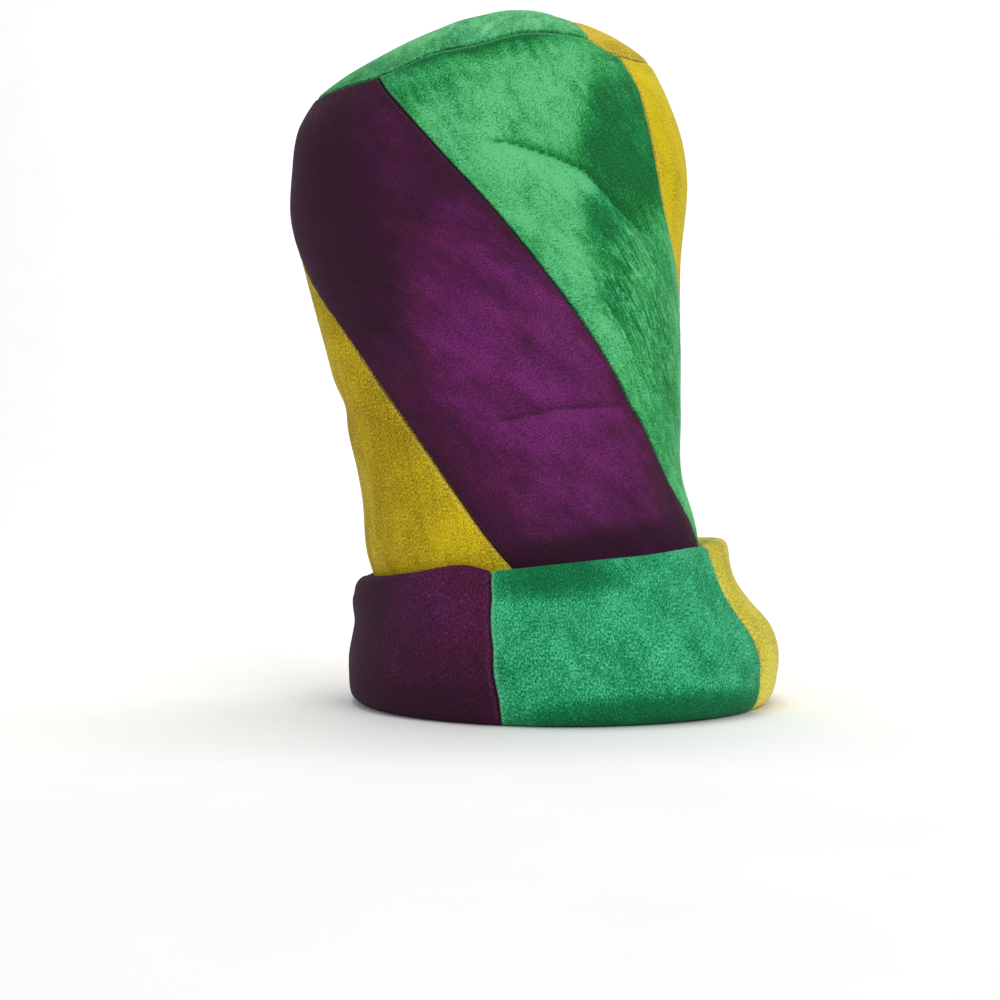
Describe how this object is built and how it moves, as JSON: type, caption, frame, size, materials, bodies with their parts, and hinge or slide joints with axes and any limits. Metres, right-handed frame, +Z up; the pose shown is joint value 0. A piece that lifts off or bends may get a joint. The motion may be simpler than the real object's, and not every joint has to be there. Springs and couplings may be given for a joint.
{
  "type": "stovepipe hat",
  "caption": "Tall soft stovepipe hat with spiral velvet stripes in purple, green and gold, a domed tip and a turned-up cuff, open below for the head.",
  "frame": {"origin": "middle of the box's bottom, on the surface that the hat rests on", "axes": "+Z up, -Y the front that the picture shows, +X to the right of someone who looks at that front"},
  "size_m": [0.2586, 0.2328, 0.3628],
  "materials": {
    "purple_velvet": "crushed pile",
    "green_velvet": "crushed pile",
    "gold_velvet": "crushed pile"
  },
  "bodies": {
    "root": {"crown_strip_purple": "purple_velvet", "crown_strip_green": "green_velvet", "crown_strip_gold_right": "gold_velvet", "crown_strip_gold_left": "gold_velvet", "tip_gold": "gold_velvet", "tip_green": "green_velvet", "cuff_purple": "purple_velvet", "cuff_green": "green_velvet", "cuff_gold": "gold_velvet"}
  },
  "joints": []
}
